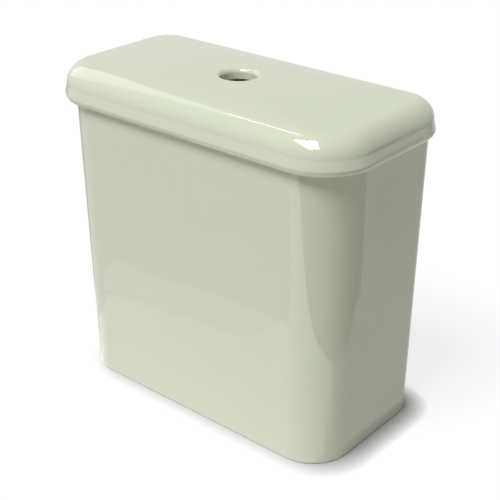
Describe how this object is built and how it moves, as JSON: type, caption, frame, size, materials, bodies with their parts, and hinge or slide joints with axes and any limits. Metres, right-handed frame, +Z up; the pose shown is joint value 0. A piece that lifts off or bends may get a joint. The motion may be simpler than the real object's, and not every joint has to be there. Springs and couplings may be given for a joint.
{
  "type": "toilet cistern",
  "caption": "Close-coupled toilet cistern in glazed china: tapered tank, overhanging lid with an open push-button hole, push-operated flush valve and bottom-entry fill valve inside.",
  "frame": {"origin": "on the ground under the middle of the lid, at the bottom centre of the whole object's box", "axes": "+Z up, +X to the right seen from the front, +Y to the back, where the wall is"},
  "size_m": [0.386, 0.19, 0.366],
  "materials": {
    "glazed_china": "gloss",
    "white_plastic": "satin",
    "grey_plastic": "satin",
    "blue_plastic": "satin",
    "black_rubber": "matte",
    "red_silicone": "matte",
    "steel": "satin"
  },
  "bodies": {
    "tank": {"cistern_body": "glazed_china", "flush_base": "white_plastic", "flush_washer": "black_rubber", "flush_backnut": "white_plastic", "flush_cage": "grey_plastic", "flush_tower": "white_plastic", "valve_head": "white_plastic", "rocker_pins": "steel", "plunger_spring": "steel", "inlet_shank": "white_plastic", "shank_washer": "black_rubber", "nut_washer": "black_rubber", "shank_backnut": "white_plastic", "inlet_filter": "blue_plastic", "lock_ring": "blue_plastic", "riser_sleeve": "white_plastic", "fill_body": "white_plastic", "fill_cap": "blue_plastic", "diaphragm": "black_rubber", "arm_pin": "steel"},
    "lid": {"cistern_lid": "glazed_china"},
    "plunger": {"flush_plunger": "grey_plastic"},
    "left_rocker": {"rocker_left": "blue_plastic"},
    "right_rocker": {"rocker_right": "blue_plastic"},
    "flush_core": {"overflow_tube": "white_plastic", "flush_seal": "red_silicone", "seal_retainer": "blue_plastic", "core_float": "blue_plastic", "lift_stem": "grey_plastic"},
    "float": {"float_cup": "grey_plastic", "float_link": "steel", "link_nuts": "steel", "link_clip": "blue_plastic"},
    "arm": {"float_arm": "grey_plastic"},
    "fill_pin": {"valve_pin": "steel"}
  },
  "joints": [
    {"name": "lid_lift", "type": "slide", "parent": "tank", "child": "lid", "axis": [0, 0, 1], "range_m": [0, 0.2]},
    {"name": "plunger_press", "type": "slide", "parent": "tank", "child": "plunger", "axis": [0, 0, -1], "range_m": [0, 0.01026], "stiffness_N_per_m": 250, "springref_m": -0.006, "deforming": ["plunger_spring"]},
    {"name": "right_rocker_turn", "type": "hinge", "parent": "tank", "child": "right_rocker", "pos_m": [0.0255, 0, 0.29342], "axis": [0, 1, 0], "range_deg": [0, 40]},
    {"name": "left_rocker_turn", "type": "hinge", "parent": "tank", "child": "left_rocker", "pos_m": [-0.0255, 0, 0.29342], "axis": [0, -1, 0], "range_deg": [0, 40]},
    {"name": "core_lift", "type": "slide", "parent": "tank", "child": "flush_core", "axis": [0, 0, 1], "range_m": [0, 0.01232]},
    {"name": "float_rise", "type": "slide", "parent": "tank", "child": "float", "axis": [0, 0, 1], "range_m": [0, 0.01435]},
    {"name": "arm_turn", "type": "hinge", "parent": "tank", "child": "arm", "pos_m": [-0.112, 0, 0.28], "axis": [0, -1, 0], "range_deg": [0, 23]},
    {"name": "pin_press", "type": "slide", "parent": "tank", "child": "fill_pin", "axis": [0, 0, -1], "range_m": [0, 0.0032]}
  ],
  "couplings": [
    {"joint": "right_rocker_turn", "follows": "plunger_press", "rad_per_m": 68.04},
    {"joint": "left_rocker_turn", "follows": "plunger_press", "rad_per_m": 68.04},
    {"joint": "core_lift", "follows": "plunger_press", "ratio": 1.2},
    {"joint": "arm_turn", "follows": "float_rise", "rad_per_m": 27.965},
    {"joint": "pin_press", "follows": "float_rise", "ratio": 0.22222}
  ]
}
